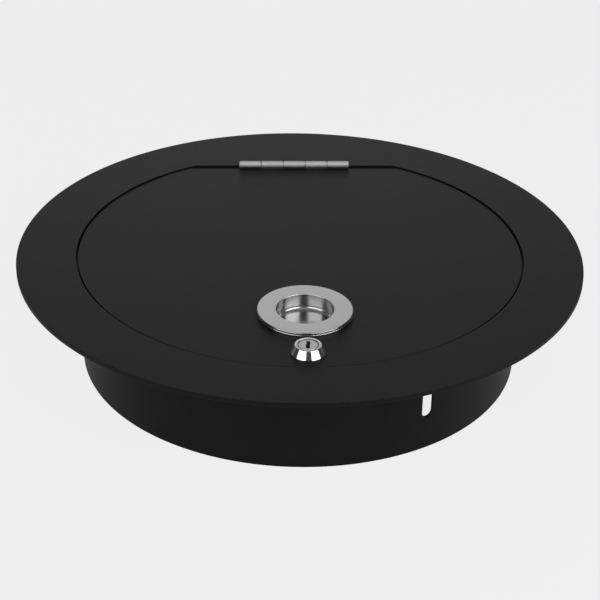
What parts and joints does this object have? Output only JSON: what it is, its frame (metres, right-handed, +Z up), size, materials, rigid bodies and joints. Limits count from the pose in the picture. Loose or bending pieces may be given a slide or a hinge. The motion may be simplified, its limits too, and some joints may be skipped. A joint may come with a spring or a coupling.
{
  "type": "desk grommet",
  "caption": "Large round lockable desk grommet: flanged steel cable sleeve closed by a flush hinged lid with a round finger pull and a cam lock.",
  "frame": {"origin": "on the sleeve's axis, in the plane of the flange's underside, which is the desk's top face", "axes": "+Z up out of the desk, +Y towards the hinge, -Y towards the lock, +X to the right seen from the lock's side"},
  "size_m": [0.3556, 0.3556, 0.0743],
  "materials": {
    "powder_coat": "black satin powder coat with a fine grain",
    "hinge_steel": "satin stainless steel",
    "pull_steel": "satin rim, polished cup",
    "lock_chrome": "polished chrome plate",
    "lock_nickel": "fine turned nickel plate",
    "zinc_plate": "bright zinc plate on steel",
    "wafer_brass": "stamped brass",
    "bumper_rubber": "matt black rubber"
  },
  "bodies": {
    "frame": {"flange_plate": "powder_coat", "ledge_ring": "powder_coat", "sleeve": "powder_coat", "frame_hinge_bar": "powder_coat", "lid_bumpers": "bumper_rubber", "hinge_frame_leaf": "hinge_steel", "hinge_frame_rivets": "hinge_steel", "hinge_pin": "hinge_steel"},
    "lid": {"lid_panel": "powder_coat", "lid_hinge_bar": "powder_coat", "hinge_lid_leaf": "hinge_steel", "hinge_lid_rivets": "hinge_steel", "pull_cup": "pull_steel", "pull_retaining_ring": "zinc_plate", "lock_housing": "lock_chrome", "lock_washer": "zinc_plate", "lock_nut": "zinc_plate"},
    "lock_core": {"lock_plug": "lock_nickel", "stop_washer": "zinc_plate", "lock_cam": "zinc_plate", "cam_spring_washer": "zinc_plate", "cam_screw": "zinc_plate"},
    "wafers": {"lock_wafers": "wafer_brass"}
  },
  "joints": [
    {"name": "lid_swing", "type": "hinge", "parent": "frame", "child": "lid", "pos_m": [0, 0.1213, 0.00487], "axis": [-1, 0, 0], "range_deg": [0, 180]},
    {"name": "lock_turn", "type": "hinge", "parent": "lid", "child": "lock_core", "pos_m": [0, -0.1237, 0], "axis": [0, 0, 1], "range_deg": [-90, 0]},
    {"name": "wafer_slide", "type": "slide", "parent": "lock_core", "child": "wafers", "axis": [0, 1, 0], "range_m": [0, 0.0005]}
  ]
}
